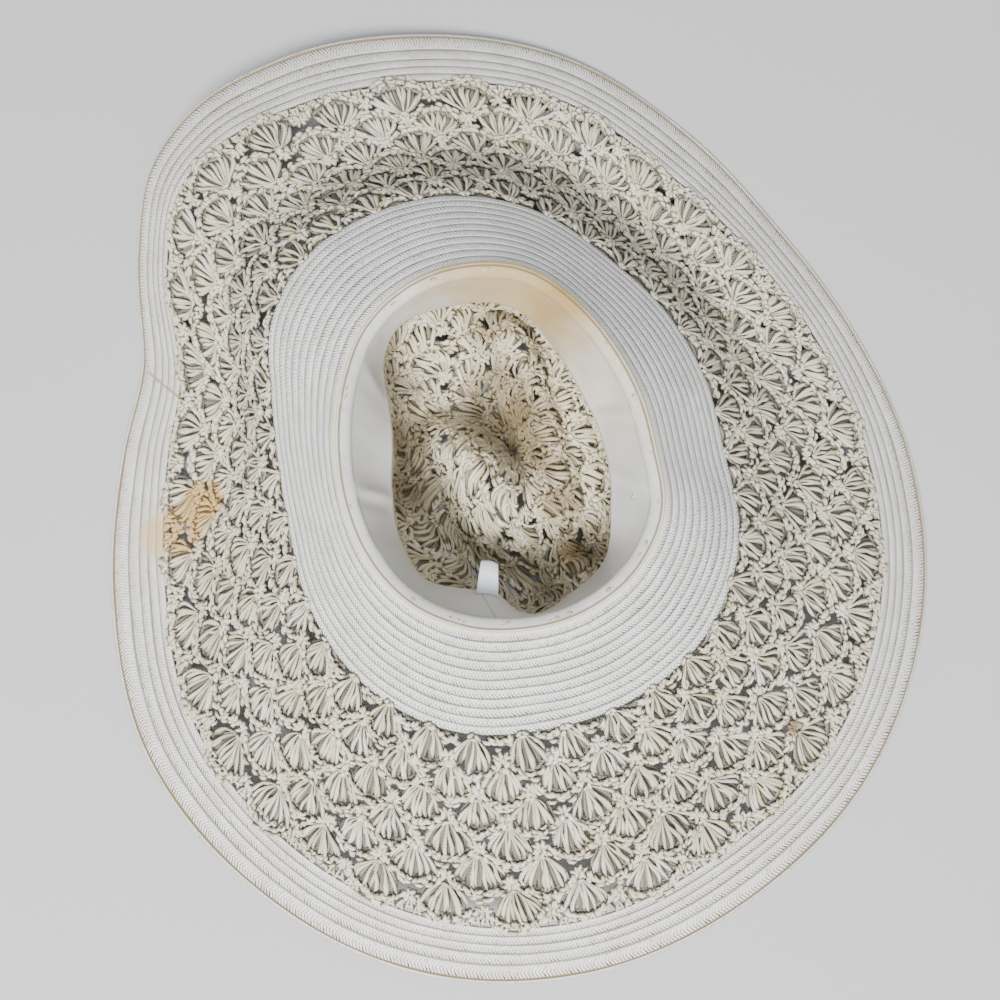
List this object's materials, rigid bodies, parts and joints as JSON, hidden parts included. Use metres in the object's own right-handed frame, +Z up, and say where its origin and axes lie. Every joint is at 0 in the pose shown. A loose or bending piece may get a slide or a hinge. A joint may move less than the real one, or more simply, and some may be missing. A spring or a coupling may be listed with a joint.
{
  "type": "floppy sun hat",
  "caption": "Floppy sun hat of sewn braid and fan crochet, lying upside down: pushed-in crown, cloth sweatband, wide wavy brim.",
  "frame": {"origin": "on the surface that the hat lies on, under the middle of its outline", "axes": "+Z up out of the head opening, +Y along the longest way across the brim"},
  "size_m": [0.5032, 0.5608, 0.101],
  "materials": {
    "crochet": "cream paper-yarn crochet, matt",
    "sewn_braid": "ivory flat braid sewn row on row, slight sheen",
    "sweatband_cloth": "plain cotton, worn and stained",
    "tag_cloth": "white woven tape, bare"
  },
  "bodies": {
    "root": {"crown": "crochet", "sweatband": "sweatband_cloth", "size_tag": "tag_cloth", "inner_braid": "sewn_braid", "crochet_brim": "crochet", "edge_braid": "sewn_braid"}
  },
  "joints": []
}
